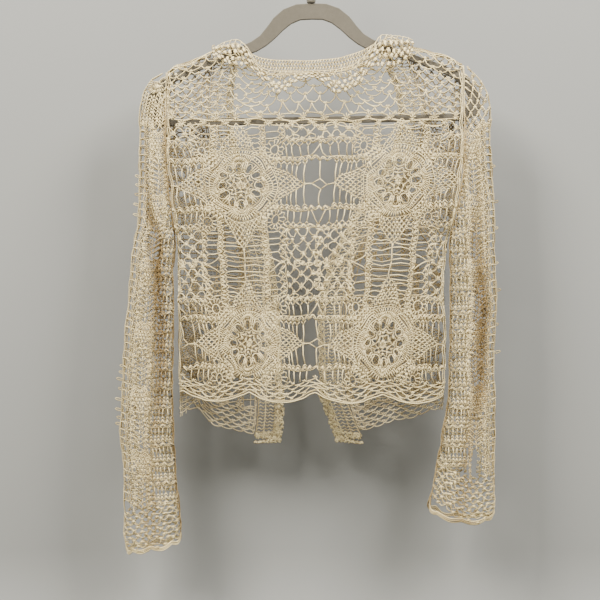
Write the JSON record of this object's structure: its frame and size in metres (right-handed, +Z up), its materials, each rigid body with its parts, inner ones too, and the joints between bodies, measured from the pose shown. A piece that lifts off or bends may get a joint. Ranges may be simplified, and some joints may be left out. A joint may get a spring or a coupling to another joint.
{
  "type": "crochet cardigan on a hanger",
  "caption": "Long-sleeved, open-front cardigan in openwork lace crochet, on a slim flocked hanger with a trouser bar and a wire hook.",
  "frame": {"origin": "the point inside the top of the hook's bow, where a rail carries it", "axes": "+Z up; the garment's back faces -Y and its open front faces +Y; the wearer's left side is at -X"},
  "size_m": [0.5006, 0.0881, 0.8139],
  "materials": {
    "cotton_lace": "matte cream cotton yarn, worked in open lace",
    "cotton_dense": "matte cream cotton yarn, worked in close shells",
    "beige_flock": "short beige flock over plastic",
    "hook_steel": "bright plated wire"
  },
  "bodies": {
    "root": {"back_panel": "cotton_lace", "front_left": "cotton_lace", "front_right": "cotton_lace", "sleeve_left_back_upper": "cotton_lace", "sleeve_left_back_lower": "cotton_lace", "sleeve_left_front_upper": "cotton_lace", "sleeve_left_front_lower": "cotton_lace", "sleeve_right_back_upper": "cotton_lace", "sleeve_right_back_lower": "cotton_lace", "sleeve_right_front_upper": "cotton_lace", "sleeve_right_front_lower": "cotton_lace", "collar_band": "cotton_dense", "collar_ruffle": "cotton_dense", "front_edging_left": "cotton_dense", "front_edging_right": "cotton_dense", "hanger_frame": "beige_flock", "hanger_boss": "beige_flock", "hanger_hook": "hook_steel"}
  },
  "joints": []
}
